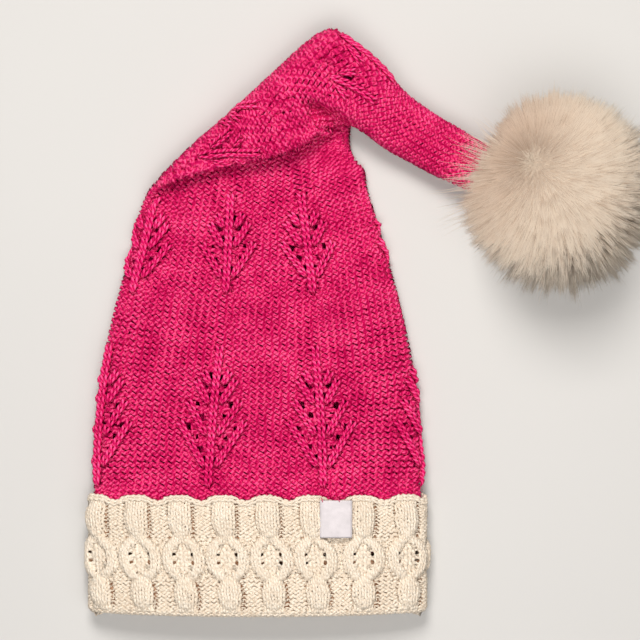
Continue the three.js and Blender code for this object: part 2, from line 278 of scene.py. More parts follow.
# round strands through rows of points; closed rows join end to start, open ones get a cap
def strands(rows, normals, radii, closed):
    points, faces, uvs, base = [], [], [], 0
    a = np.arange(strandSides)[None, :]
    b = (a + 1) % strandSides
    turn = 2 * math.pi * (a[..., None] + 0.5) / strandSides
    for row, normal, radius in zip(rows, normals, radii):
        n = len(row)
        ahead = np.roll(row, -1, 0) - np.roll(row, 1, 0)
        if not closed:
            ahead[0], ahead[-1] = row[1] - row[0], row[-1] - row[-2]
        ahead = unit(ahead)
        up = unit(normal - ahead * np.sum(normal * ahead, 1, keepdims=True))
        side = np.cross(ahead, up)
        spoke = np.cos(turn) * up[:, None] + np.sin(turn) * side[:, None]
        points.append((row[:, None] + np.asarray(radius).reshape(-1, 1, 1) * spoke).reshape(-1, 3))
        walked = summed(np.linalg.norm(np.diff(np.vstack([row, row[:1]]), axis=0), axis=1)) / strandUnit
        i = np.arange(n if closed else n - 1)[:, None]
        here, there = base + i * strandSides, base + (i + 1) % n * strandSides
        faces.append(np.stack([here + a, here + b, there + b, there + a], -1).reshape(-1, strandSides))
        low, high = walked[i] + 0 * a, walked[i + 1] + 0 * a
        left, right = a / strandSides + 0.0 * i, (a + 1) / strandSides + 0.0 * i
        corners = [(low, left), (low, right), (high, right), (high, left)]
        uvs.append(np.stack([np.stack(corner, -1) for corner in corners], 2).reshape(-1, 2))
        if not closed:
            faces.append(np.array([base + a[0][::-1], base + (n - 1) * strandSides + a[0]]))
            uvs.append(np.zeros((2 * strandSides, 2)))
        base += n * strandSides
    return np.concatenate(points), np.concatenate(faces), np.concatenate(uvs)


# faces of a grid of points, row by row, with the row and column of each
def gridFaces(rows, columns, closed):
    i, j = gridOf(np.arange(rows), np.arange(columns))
    n = columns if closed else columns + 1
    k = (j + 1) % n
    return i, j, np.stack([i * n + j, (i + 1) * n + j, (i + 1) * n + k, i * n + k], -1)


# faces of fine ribbons, two points at the root, two at the knee, one at the tip
def ribbonFaces(count):
    corners = np.array([[0, 1, 3], [0, 3, 2], [2, 3, 4]])
    return (5 * np.arange(count)[:, None, None] + corners[None]).reshape(-1, 3)


# gives a sheet its thickness
def thicken(piece, thick, offset, materialOffset=0):
    bpy.ops.object.select_all(action="DESELECT")
    bpy.context.view_layer.objects.active = piece
    piece.select_set(True)
    shell = piece.modifiers.new("wall", "SOLIDIFY")
    shell.thickness, shell.offset, shell.material_offset = thick * mm, offset, materialOffset
    bpy.ops.object.modifier_apply(modifier=shell.name)


def dress(piece, slot, *materials):
    for material in materials:
        piece.data.materials.append(material)
    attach(piece, "root")
    return piece


# a node with its inputs: numbers and colours set on the sockets, other nodes' outputs linked
def addNode(tree, kind, inputs, **settings):
    node = tree.nodes.new("ShaderNode" + kind)
    for key, value in settings.items():
        setattr(node, key, value)
    for key, value in inputs.items():
        if isinstance(value, bpy.types.NodeSocket):
            tree.links.new(value, node.inputs[key])
        else:
            node.inputs[key].default_value = value
    return node


def addMath(tree, operation, *values):
    return addNode(tree, "Math", dict(enumerate(values)), operation=operation).outputs[0]


def objectPlace(tree):
    return addNode(tree, "TexCoord", {}).outputs["Object"]


def addNoise(tree, scale, detail=2):
    inputs = {"Vector": objectPlace(tree), "Scale": scale, "Detail": detail}
    return addNode(tree, "TexNoise", inputs).outputs["Fac"]


# the strand's own map, whole and split into along and around
def strandMap(tree):
    uv = addNode(tree, "UVMap", {}, uv_map="strand").outputs["UV"]
    split = addNode(tree, "SeparateXYZ", {0: uv})
    return uv, split.outputs["X"], split.outputs["Y"]


def addRamp(tree, factor, stops):
    ramp = addNode(tree, "ValToRGB", {"Fac": factor})
    ends = ramp.color_ramp.elements
    ends[0].position, ends[1].position = stops[0][0], stops[-1][0]
    ends[0].color, ends[1].color = (*stops[0][1], 1), (*stops[-1][1], 1)
    for place, colour in stops[1:-1]:
        ends.new(place).color = (*colour, 1)
    return ramp.outputs["Color"]


def addBump(tree, shader, height, strength, distance):
    bump = addNode(tree, "Bump", {"Strength": strength, "Distance": distance, "Height": height})
    tree.links.new(bump.outputs["Normal"], shader.inputs["Normal"])


def newMaterial(name, roughness=1.0, sheen=0.0, sheenTint=(1, 1, 1), specular=0.35):
    material = bpy.data.materials.new(name)
    material.use_nodes = True
    shader = material.node_tree.nodes["Principled BSDF"]
    for socket, value in {"Roughness": roughness, "Specular IOR Level": specular, "Sheen Weight": sheen,
                          "Sheen Roughness": 0.45, "Sheen Tint": (*sheenTint, 1)}.items():
        shader.inputs[socket].default_value = value
    return material, material.node_tree, shader


# wool yarn: plies twisted round the strand, fine fibres along them, uneven dye
def yarnMaterial(name, look):
    material, tree, shader = newMaterial(name, look["roughness"], look["sheen"], look["sheenTint"])
    shader.inputs["Specular Tint"].default_value = (*look["shine"], 1)
    along, around = strandMap(tree)[1:]
    turns = addMath(tree, "MULTIPLY", around, 2 * math.pi * look["plies"])
    twist = addMath(tree, "MULTIPLY_ADD", along, strandUnit / look["plyPitch"] * 2 * math.pi, turns)
    ply = addMath(tree, "SINE", twist)
    dye, fibre = addNoise(tree, look["dyeScale"], 3), addNoise(tree, look["fibreScale"], 4)
    dyed = addMath(tree, "MULTIPLY", dye, look["dyeTone"])
    spotted = addMath(tree, "MULTIPLY_ADD", fibre, look["fibreTone"], dyed)
    tone = addMath(tree, "MULTIPLY_ADD", ply, look["plyTone"], spotted)
    tree.links.new(addRamp(tree, tone, look["tones"]), shader.inputs["Base Color"])
    height = addMath(tree, "MULTIPLY_ADD", ply, look["plyHeight"], fibre)
    addBump(tree, shader, height, look["bump"], look["bumpDepth"])
    return material


# plain knitted cloth behind the yarn
clothLook = {"rowScale": 60, "distortion": 3.0, "detailScale": 6.0, "bump": 0.6, "bumpDepth": 0.001,
             "specular": 0.05}


def clothMaterial(name, dark, light, look=clothLook):
    material, tree, shader = newMaterial(name, specular=look["specular"])
    wave = addNode(tree, "TexWave", {"Vector": objectPlace(tree), "Scale": look["rowScale"],
                                     "Distortion": look["distortion"], "Detail Scale": look["detailScale"]},
                   bands_direction="Y").outputs["Fac"]
    tree.links.new(addRamp(tree, wave, [(0.2, dark), (0.8, light)]), shader.inputs["Base Color"])
    addBump(tree, shader, wave, look["bump"], look["bumpDepth"])
    return material


# a plain finish with a faint grain
def grainMaterial(name, roughness, sheen, grain, tones):
    material, tree, shader = newMaterial(name, roughness, sheen)
    tree.links.new(addRamp(tree, addNoise(tree, grain), tones), shader.inputs["Base Color"])
    return material, tree, shader


yarnLook = {"plyPitch": 4.2, "plies": 2, "dyeScale": 60, "fibreScale": 2200, "plyTone": 0.2,
            "fibreTone": 0.45, "dyeTone": 0.55, "plyHeight": 0.5, "bumpDepth": 0.0004}
pinkLook = yarnLook | {
    "roughness": 0.45, "shine": (1.0, 0.22, 0.42), "sheen": 0.04, "sheenTint": (1.0, 0.2, 0.45), "bump": 0.55,
    "tones": [(0.22, (0.36, 0.000, 0.050)), (0.5, (0.65, 0.005, 0.116)), (0.78, (0.94, 0.100, 0.270))]}
creamLook = yarnLook | {
    "roughness": 0.8, "shine": (1.0, 1.0, 1.0), "sheen": 0.2, "sheenTint": (1.0, 0.95, 0.85), "bump": 0.35,
    "tones": [(0.25, (0.675, 0.56, 0.445)), (0.5, (0.775, 0.67, 0.545)), (0.75, (0.835, 0.745, 0.635))]}
paintedLightGain = 1.16  # painted light: a lighter copy of the pink for the trees' raised stitches, which catch more light
paintedLitTones = [(at, tuple(min(1, paintedLightGain * c) for c in tone)) for at, tone in pinkLook["tones"]]
pinkYarn = yarnMaterial("pinkWool", pinkLook)
pinkPaintedLit = yarnMaterial("pinkPaintedLitWool", pinkLook | {"tones": paintedLitTones})
creamYarn = yarnMaterial("creamWool", creamLook)
# painted shade: the crown cloth's outer face is dark red, standing in for the shade between the stitches and
# in the eyelets
pinkGapShade = clothMaterial("pinkShadeBetween", (0.12, 0.000, 0.020), (0.20, 0.001, 0.034))
# painted shade: the cuff cloth's outer face and pocket are dark brown, standing in for the shade between the
# stitches and in the eyelets
creamGapShade = clothMaterial("creamShadeBetween", (0.22, 0.11, 0.06), (0.34, 0.19, 0.115))
pinkCloth = clothMaterial("pinkInside", (0.30, 0.003, 0.04), (0.52, 0.008, 0.08))
creamCloth = clothMaterial("creamInside", (0.58, 0.44, 0.31), (0.78, 0.65, 0.49))

# crown knit: purl rows, even between the trees' axes
crownKnit = {
    "firstRow": 37.0, "lastRow": 546.0, "rowHeight": 3.84, "stitchWidth": 5.73, "yarn": 1.6, "swell": 0.35,
    "reach": 0.75, "bow": 0.15, "spread": 0.04, "level": -1.4, "ends": 0.8, "plunge": 2.0, "tilt": 0.28,
    "unevenness": 0.17, "axes": [0.0959, 0.2471, 0.4213, 0.6073, 0.7817, 0.9448],
    "sagEnds": (335, 50),  # the rows' sag is gone at this place along the hat, and over how far it fades
    "slopeStep": 4.0, "oddRoom": 0.7, "underFrom": -0.2, "gapStep": 1.5, "fullest": 1.5, "fullPower": 0.9,
    # first and last row of each piece
    "pieces": [("crownKnitLow", 0, 34), ("crownKnitMiddle", 34, 74), ("crownKnitTail", 74, None)],
}
stitchPoints, stitchPointsUnder = 8, 4  # points to a stitch, fewer where it lies down
slipDepth, yarnUneven = 0.5, 0.05

# knit fir trees with eyelets, the purl ground sunk beside them; branches and eyelets in stitches and rows
firTrees = {
    "eyelet": 3.9, "eyeletReach": 6.0, "sink": 4.6, "sinkReach": 2.4, "pitch": 5.2, "width": 3.9,
    "legYarn": 1.34, "stem": 1.12, "branchRows": (-0.8, -1.8), "branchOut": (1.32, 0.40),
    "eyeletOut": (0.70, 0.74), "eyeletRows": 2, "onFold": ([250, 300], [1, 0.68]), "atEdge": (2.2, 0.15),
    "around": (46, 40, 25),  # ground moved by a tree: aside, below, above
    # foot of the stem, height in rows, tiers of branches: row of the tier and eyelets a side
    # places: share round the hat, mm aside at the foot and at the top
    "trees": [
        {"foot": 53.0, "rows": 24.8, "tiers": [(4.5, 4), (10.4, 3), (16.3, 2), (19.9, 1)],
         "places": [(0.0959, 0, -2), (0.2471, 0, 9), (0.4213, 0, 0), (0.6073, 0, 0), (0.7817, -9.5, -8.5),
                    (0.9448, -8, -2)]},
        {"foot": 193.0, "rows": 17.0, "tiers": [(3.7, 3), (9.5, 2), (13.2, 1)],
         "places": [(0.0959, 0, 0), (0.285, 0, 0), (0.4213, 0, 0), (0.6073, 0, 0), (0.7817, 0, 0),
                    (0.9448, 0, 0)]},
        {"foot": 300.0, "rows": 10.5, "tiers": [(2.5, 2), (6.5, 1)],
         "places": [(0.0959, 0, 0), (0.4213, 0, 0), (0.6, 0, 0), (0.72, 0, 0), (0.9448, 0, 0)]},
        {"foot": 396.0, "rows": 7.0, "tiers": [(2.0, 1)],
         "places": [(0.03, 0, 0), (0.29, 0, 0), (0.5, 0, 0), (0.77, 0, 0)]}],
}
# one leg of a raised stitch: start and run along the chain, aside, level and arch, thickness from end to end
treeLeg = {"forth": (-0.65, 1.6), "aside": (0.09, 0.48), "level": -1.2, "rise": 2.7, "arch": (0.06, 0.84),
           "ground": -1.3, "asideUneven": 0.03, "riseUneven": 0.15, "taper": [0.45, 0.9, 1.1, 1.0, 0.5]}


def treeParts(tree, trees):
    paths = [(np.array([0, tree["rows"]]), np.array([0.0, 0.0]))]
    holes = []
    low, short = trees["branchRows"]
    for row, count in tree["tiers"]:
        rise = np.array([low, trees["eyeletRows"] * count + short])
        for hand in (-1, 1):
            paths.append((row + rise, hand * lineAt(trees["branchOut"], rise)))
            holes += [(row + trees["eyeletRows"] * i, hand * lineAt(trees["eyeletOut"], i))
                      for i in range(count)]
    return paths, holes


# places of the trees' stitches and eyelets on the crown, as along and mm aside
def treePlaces(trees, knit):
    found = []
    rowHeight, stitchWidth = knit["rowHeight"], knit["stitchWidth"]
    for tree in trees["trees"]:
        paths, holes = treeParts(tree, trees)
        for axis, footShift, topShift in tree["places"]:
            veins = []
            for rows, offset in paths:
                along = tree["foot"] + rows * rowHeight
                length = np.hypot(np.diff(along), np.diff(offset) * stitchWidth)[0]
                t = np.linspace(0, 1, max(2, int(round(length / trees["pitch"])) + 1))
                s = along[0] + (along[1] - along[0]) * t
                w = (offset[0] + (offset[1] - offset[0]) * t) * stitchWidth
                w = w + footShift + (topShift - footShift) * (s - tree["foot"]) / (tree["rows"] * rowHeight)
                veins.append((s, w, math.atan2(w[-1] - w[0], along[1] - along[0])))
            spots = [(tree["foot"] + r * rowHeight,
                      o * stitchWidth + footShift + (topShift - footShift) * r / tree["rows"])
                     for r, o in holes]
            found.append((axis, veins, spots))
    return found


treeSpots = treePlaces(firTrees, crownKnit)


# edges of the stitches in one row: even from the middle between two trees, odd widths beside the stems
def stitchEdges(knit, length):
    axes = knit["axes"] + [knit["axes"][0] + 1]
    edges = []
    for a, b in zip(axes[:-1], axes[1:]):
        half = length * (b - a) / 2
        even = int(max(half / knit["stitchWidth"] - knit["oddRoom"], 0))
        rest = half - even * knit["stitchWidth"]
        odd = max(1, int(round(rest / knit["stitchWidth"])))
        last = half - rest + rest * np.arange(odd + 1) / odd
        right = np.concatenate([np.arange(even) * knit["stitchWidth"], last])
        places = np.concatenate([-right[::-1], right[1:]]) if even else np.linspace(-half, half, 2 * odd + 1)
        edges.append(((a + b) / 2 + places[:-1] / length))
    return np.concatenate(edges)


# rows sag between the edges, square to stitch columns that lean in as the hat narrows
def rowRise(along, share, knit):
    step, (end, fade) = knit["slopeStep"], knit["sagEnds"]
    narrowing = (drapeAt(halfWidth, along - step) - drapeAt(halfWidth, along + step)) / (2 * step)
    narrowing = narrowing * np.clip((end - along) / fade, 0, 1)
    i = np.clip(along / stationGap, 0, len(stations) - 1).astype(int)
    u = ringU[i, (np.mod(share, 1) * shareCount).astype(int)]
    return narrowing * u * u / (2 * drapeAt(halfWidth, along))


# yarn through one stitch: share of its width, up and down, front and back, sideways
def stitchWave(count):
    t = np.arange(count) / count
    return t, np.round(np.cos(2 * math.pi * t), 6), np.cos(4 * math.pi * t), np.sin(4 * math.pi * t)


def crownRows(knit):
    rows = []
    for along in np.arange(knit["firstRow"], knit["lastRow"], knit["rowHeight"]):
        length = float(perimeterAt(along))
        edges = stitchEdges(knit, length)
        widths = np.diff(np.append(edges, edges[0] + 1))
        downward = facingUp(np.full(len(edges), along), edges + widths / 2) < knit["underFrom"]
        share, lift, depth, thick = [], [], [], []
        for edge, width, under in zip(edges, widths, downward):
            t, swing, peak, sway = stitchWave(stitchPointsUnder if under else stitchPoints)
            slip = rng.normal(0, knit["unevenness"], 3)
            legs = np.where(np.abs(swing) < 0.9, 1 + knit["spread"], 1)
            share.append(edge + width * (t + knit["bow"] * sway) + slip[0] / length)
            lift.append(-knit["reach"] * knit["rowHeight"] * np.sign(swing) * legs - knit["tilt"] * sway
                        + slip[1])
            # the legs dive behind the purl bars
            depth.append(knit["plunge"] * np.minimum(peak, 0) - knit["ends"] * (1 - np.maximum(peak, 0))
                         + slipDepth * slip[2])
            thick.append(knit["yarn"] + knit["swell"] * peak)
        share, lift, depth, thick = joined(share, lift, depth, thick)
        laid = along + lift + rowRise(np.full(len(share), along), share, knit)
        rows.append((laid, share, knit["level"] + depth, thick))
    return rows


# how high stems may stand: they lie low where the crown turns over at the hat's edges
def edgeLevel(along, share):
    gain, least = firTrees["atEdge"]
    return np.clip(gain * facingUp(along, share), least, 1)


# trees on the fold are flatter, drawn out by the crease
def boldAt(along):
    return np.interp(along, *firTrees["onFold"])


# how many times farther from an eyelet's middle the yarn is pushed
def pushAway(x, y, hole, reach):
    r = np.sqrt(x * x + y * y) + 1e-6
    return np.sqrt(r * r + hole**2 * np.exp(-(r / reach)**2)) / r


# eyelets push the yarn aside, and the ground sinks under the trees' raised stitches
def openEyelets(along, share, height, trees):
    level = edgeLevel(along, share)
    side, below, above = trees["around"]
    for axis, veins, spots in treeSpots:
        length = perimeterAt(along)
        x = nearWay(share - axis, 1) * length
        near = (np.abs(x) < side) & (along > spots[0][0] - below) & (along < veins[0][0][-1] + above)
        if not near.any():
            continue
        px, py, pz = x[near], along[near], height[near]
        nearest = np.full(len(px), 1e9)
        for s, w, _ in veins:
            for a, b in zip(s, w):
                nearest = np.minimum(nearest, (px - b)**2 + (py - a)**2)
        pz = pz - trees["sink"] * boldAt(py) * level[near] * np.exp(-nearest / (2 * trees["sinkReach"]**2))
        for a, b in spots:
            dx, dy = px - b, py - a
            push = pushAway(dx, dy, trees["eyelet"], trees["eyeletReach"])
            px, py = b + dx * push, a + dy * push
        share[near] = axis + px / length[near]
        along[near], height[near] = py, pz
    return along, share, height


# closed rows of yarn made into pieces
def rowPieces(rows, points, normals, fuller, groups, material, slot):
    ends = np.cumsum([0] + [len(r[0]) for r in rows])
    uneven = 1 + yarnUneven * rng.standard_normal(len(points))
    thickness = np.concatenate([r[3] for r in rows]) * uneven * fuller
    made = []
    for name, first, last in groups:
        parts = [slice(a, b) for a, b in zip(ends[:-1], ends[1:])][first:last]
        mesh = strands(*([values[p] for p in parts] for values in (points, normals, thickness)), True)
        made.append(dress(meshPiece(name, *mesh), slot, material))
    return made


def buildCrownKnit(knit):
    rows = crownRows(knit)
    along, share, height = openEyelets(*(np.concatenate([r[i] for r in rows]) for i in range(3)), firTrees)
    points, normals = onCrown(along, share, height)
    keepAbove(points, knit["yarn"])  # pressed flat where it lies
    step = knit["gapStep"]
    apart = crownSurface(along + step, share) - crownSurface(along - step, share)
    gap = np.linalg.norm(apart, axis=1) / (2 * step)
    fuller = np.clip(gap, 1, knit["fullest"])**knit["fullPower"]  # where the rows stand apart
    return rowPieces(rows, points, normals, fuller, knit["pieces"], pinkYarn, "pink_knit")


# short open legs of chain stitches made into a piece
def legPiece(name, points, normals, size, lowest, slot, material):
    keepAbove(points, lowest)
    count = len(size)
    mesh = strands(points.reshape(count, -1, 3), normals.reshape(count, -1, 3), size, False)
    return dress(meshPiece(name, *mesh), slot, material)


# raised knit stitches of the stems and branches, two legs to a stitch
def buildTrees(trees, leg):
    along, share, height, size = [], [], [], []
    taper = np.array(leg["taper"])
    t = np.linspace(0, 1, len(taper))
    forth = lineAt(leg["forth"], t) * trees["pitch"]
    arch = leg["rise"] * np.sin(math.pi * lineAt(leg["arch"], t))
    for axis, veins, _ in treeSpots:
        for number, (s, w, lean) in enumerate(veins):
            wide = 1 if number else trees["stem"]
            for a, b in zip(s, w):
                for hand in (-1, 1):
                    aside = hand * (lineAt(leg["aside"], t) + rng.normal(0, leg["asideUneven"]))
                    aside = aside * trees["width"] * wide
                    along.append(a + (forth * math.cos(lean) - aside * math.sin(lean)))
                    across = b + (forth * math.sin(lean) + aside * math.cos(lean))
                    share.append(axis + across / perimeterAt(a))
                    height.append(leg["level"] + arch + rng.normal(0, leg["riseUneven"]))
                    size.append(trees["legYarn"] * wide * math.sqrt(boldAt(a)) * taper)
    along, share, height = joined(along, share, height)
    height = leg["ground"] + (height - leg["ground"]) * edgeLevel(along, share) * boldAt(along)
    points, normals = onCrown(along, share, height)
    # the trees wear the lighter pink, a painted highlight
    return legPiece("crownTrees", points, normals, size, crownKnit["yarn"], "pink_knit", pinkPaintedLit)


# the cloth behind the yarn, with holes at the eyelets
crownCloth = {"rowGap": 5.4, "columns": 96, "depth": -3.6, "thick": 0.7, "first": 2.0, "last": 547.0,
              "hole": 3.0}


def buildCrownCloth(cloth):
    rowCount, n = int((cloth["last"] - cloth["first"]) / cloth["rowGap"]), cloth["columns"]
    along = np.linspace(cloth["first"], cloth["last"], rowCount + 1)
    s, f = gridOf(along, np.arange(n) / n)
    points = onCrown(s, f, np.full(len(s), cloth["depth"]))[0]
    i, j, faces = gridFaces(rowCount, n, True)
    middleS, middleF = (along[i] + along[i + 1]) / 2, (j + 0.5) / n
    keep = np.ones(len(faces), bool)
    upward = facingUp(middleS, middleF) > 0.5
    for axis, _, spots in treeSpots:
        x = nearWay(middleF - axis, 1) * perimeterAt(middleS)
        for a, b in spots:
            keep &= ~(upward & (np.hypot(x - b, middleS - a) < cloth["hole"]))
    piece = meshPiece("crownCloth", points, faces[keep][:, [0, 3, 2, 1]])
    dress(piece, "pink_knit", pinkGapShade, pinkCloth)  # painted shade: the outer face, seen only between the stitches, is a dark red standing in for the shade there
    thicken(piece, cloth["thick"], -1, 1)
    return piece


crownPieces = buildCrownKnit(crownKnit)
report("crown knit", *crownPieces)
crownTrees = buildTrees(firTrees, treeLeg)
report("fir trees", crownTrees)
crownBack = buildCrownCloth(crownCloth)
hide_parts("crown")
report("crown cloth", crownBack)

# turned-up cuff: outer leaf in bumps, rings and purl valleys, bottom fold and plain inner leaf
cuffKnit = {
    "repeats": 16, "seamExtra": 7.0, "firstBump": 37.3, "leafDepth": -3.75, "top": 43.0, "foldRadius": 4.6,
    "bottom": -41.5, "bow": 2.2, "underSag": 2.8, "innerTop": 36.0, "firstRow": 1.2, "lastRow": 95.0,
    "rowHeight": 2.8, "yarn": 1.15, "reach": 0.74, "bowOut": 0.16, "level": -1.5, "swing": 0.28,
    "purlTop": 0.5, "purlPlunge": 1.4, "purlEnds": 0.6, "ladder": 0.48, "unevenness": 0.2, "bowMost": 5.0,
    "narrow": 2.2, "seenFrom": -4, "ribYarn": (0.15, -0.12), "purlYarn": (0.12, 0.25),
    "wideStitch": (4.4, 1.45), "ribStitches": 4, "valleyStitches": 4, "turnedHalf": 8.6, "ringFrom": 0.35,
    "reliefPast": 4, "underSagAt": (12, 42), "bowHalf": 125, "bowFrom": (10, 50), "edgeStep": 0.4,
    "pieces": [("cuffKnitUpper", 0, 16), ("cuffKnitLower", 16, None)],  # first and last row
    "ringEdges": [-15.2, -10.8, -6.6, 0, 6.6, 10.8, 15.2],  # stitches across an open ring at its widest
    # height on the cuff, half width of the rib, share of the open ring, relief of the ring
    "pattern": [
        [43, 7.6, 0, 0], [34, 8.4, 0, 0], [26, 8.6, 0, 0], [20, 7.8, 0, 0], [16.5, 6.4, 0, 0.3],
        [14, 6.4, 0.1, 1.2], [10.5, 10.2, 0.6, 2.6], [6, 14.2, 0.95, 3.1], [-1, 15.7, 1, 3.1],
        [-8, 14.2, 0.95, 3.1], [-13, 10.2, 0.6, 2.6], [-16, 6.4, 0.1, 1.2], [-18.5, 7.2, 0, 0.3],
        [-22, 8.4, 0, 0], [-26, 8.6, 0, 0], [-33, 7.4, 0, 0], [-41, 6.8, 0, 0]],
    "pillows": [(26.0, 12.5, 4.0), (-25.5, 10.5, 3.8)],  # middle, reach up and down, height
    "eyelets": [(-6.6, 1.9), (6.6, 1.9), (-6.4, -3.7), (6.4, -3.7)], "eyelet": 2.1, "eyeletReach": 4.5,
    # height on the cuff, and how far the ribs have slid round there; how much of it the first ribs take
    "slide": [[-29, 7.0], [-2.5, 5.2], [28, 1.8]], "slideTaken": ([0, 1, 2, 4], [1.0, 0.12, 0.4, 1.0]),
}
# relief: how the pillows round off, ridge of a ring, grooves beside ribs and inside rings, scalloped edge
cuffForm = {"pillowOver": 0.6, "pillowPower": 2.1, "ridgeIn": 4.4, "ridgeHalf": 4.9, "ridgePower": 3,
            "groove": 1.5, "grooveHalf": 1.0, "innerShare": 0.6, "innerIn": 9.6, "innerHalf": 1.2,
            "valleyHalf": 1.5, "grooveEnds": (42, 6), "scallop": 4.4, "scallopRise": (18, 25),
            "scallopHalf": 11.5}
cuffU, cuffQ, cuffWalked = sectionOutline(np.array(0.0), cuffKnit["leafDepth"], 1440)[:3]
cuffLength = cuffWalked[-1]
cuffStraight = cuffKnit["top"] - cuffKnit["bottom"] - cuffKnit["foldRadius"]  # outer leaf, to the fold
patternTable = np.array(cuffKnit["pattern"], float)[::-1]


def patternAt(column, y):
    return np.interp(y, patternTable[:, 0], patternTable[:, column])


# distance down the cuff's profile to height and depth, round the bottom fold
def cuffProfile(down):
    radius = cuffKnit["foldRadius"]
    turn = np.clip((down - cuffStraight) / radius, 0, math.pi)
    rest = np.maximum(down - cuffStraight - math.pi * radius, 0)
    y = cuffKnit["top"] - np.minimum(down, cuffStraight) - radius * np.sin(turn) + rest
    return y, radius * (1 - np.cos(turn))


def cuffRing(walked):
    walked = np.mod(walked, cuffLength)
    return np.interp(walked, cuffWalked, cuffU), np.interp(walked, cuffWalked, cuffQ)


def cuffSurface(down, share):
    y, depth = cuffProfile(down)
    walked = np.mod(share, 1.0) * cuffLength
    step, (sagMiddle, sagReach) = cuffKnit["edgeStep"], cuffKnit["underSagAt"]
    bowTop, bowOver = cuffKnit["bowFrom"]
    (u, q), (u2, q2), (u1, q1) = (cuffRing(walked + along) for along in (0, step, -step))
    tu, tq = u2 - u1, q2 - q1
    size = np.maximum(np.hypot(tu, tq), 1e-9)
    u, q = u + tq / size * depth, q - tu / size * depth
    under = np.clip(-q / 10, 0, 1) * np.exp(-((u - sagMiddle) / sagReach)**2)
    sag = cuffKnit["bow"] + cuffKnit["underSag"] * under
    bow = sag * (1 - (u / cuffKnit["bowHalf"])**2) * np.clip((bowTop - y) / bowOver, 0, 1)
    middle = drape[0, liftUp] + (0.5 - hatShape["restShift"]) * drape[0, loftHigh]
    return np.stack([u, y - bow, middle + q], -1)


# points at a height over the cuff's outer face, and its outward normals
def onCuff(down, share, height):
    p, n = raised(cuffSurface, down, share, 0 * down, np.full(np.shape(down), cuffLength))
    return p - n * np.asarray(height)[..., None], -n


def bumpMiddles():
    step = (cuffLength - cuffKnit["seamExtra"]) / cuffKnit["repeats"]
    k = np.arange(cuffKnit["repeats"])
    return cuffKnit["firstBump"] + k * step + np.where(k > 0, cuffKnit["seamExtra"], 0)


bumps = bumpMiddles()
slideShare = np.interp(np.arange(len(bumps)), *cuffKnit["slideTaken"])
slideTable = np.array(cuffKnit["slide"], float)


# middles of the ribs at a height on the cuff
def ribMiddles(y):
    return bumps + slideShare * np.interp(y, slideTable[:, 0], slideTable[:, 1])[..., None]


# height of the relief and drop of the scalloped edge at a place on the cuff
def cuffRelief(walked, y, form=cuffForm):
    away = np.min(np.abs(nearWay(walked[..., None] - ribMiddles(y), cuffLength)), -1)
    half, opened = patternAt(1, y), patternAt(2, y)
    bump = 0 * away
    for middle, reach, tall in cuffKnit["pillows"]:
        aside, up = np.abs(away / (half + form["pillowOver"])), np.abs((y - middle) / reach)
        bump = bump + tall * np.sqrt(np.clip(1 - aside**form["pillowPower"] - up**form["pillowPower"], 0, 1))
    ridge = np.abs(away - (half - form["ridgeIn"])) / form["ridgeHalf"]
    ring = patternAt(3, y) * np.sqrt(np.clip(1 - ridge**form["ridgePower"], 0, 1))
    inner = form["innerShare"] * opened
    groove = np.exp(-((away - half) / form["grooveHalf"])**2)
    groove = groove + inner * np.exp(-((away - half + form["innerIn"]) / form["innerHalf"])**2)
    between = inner * np.clip((away - half) / form["valleyHalf"], 0, 1)
    (end, fade), (start, rise) = form["grooveEnds"], form["scallopRise"]
    depth = form["groove"] * (groove + between) * np.clip((end - np.abs(y)) / fade, 0, 1)
    lobe = np.exp(-(away / form["scallopHalf"])**4)
    drop = form["scallop"] * np.clip((y - start) / rise, 0, 1)**2 * (1 - lobe)
    return bump + ring - depth, drop


# stitches of one row round the cuff: left edge, width, whether knitted, slack of the yarn
def cuffStitches(knit, y, turned):
    half, opened = float(patternAt(1, y)), float(patternAt(2, y))
    if turned:
        half, opened = knit["turnedHalf"], 0.0
    rib = np.linspace(-half, half, knit["ribStitches"] + 1)
    if opened > knit["ringFrom"]:
        rib = np.array(knit["ringEdges"]) * half / knit["ringEdges"][-1]
    ladder = knit["ladder"] if opened < knit["ringFrom"] and not turned else 1.0
    ribs = ribMiddles(np.array(y))
    stitches = []
    for k in range(knit["repeats"]):
        last = ribs[(k + 1) % knit["repeats"]] + (cuffLength if k == knit["repeats"] - 1 else 0)
        plain = knit["valleyStitches"] + (k == 0)  # one more at the seam
        gap = np.linspace(ribs[k] + half, last - half, plain + 1)
        slack = [ladder] + [1.0] * (plain - 1)
        stitches += [(a, w, not turned, 1.0) for a, w in zip(ribs[k] + rib[:-1], np.diff(rib))]
        stitches += [(a, w, False, s) for a, w, s in zip(gap[:-1], np.diff(gap), slack)]
    return stitches


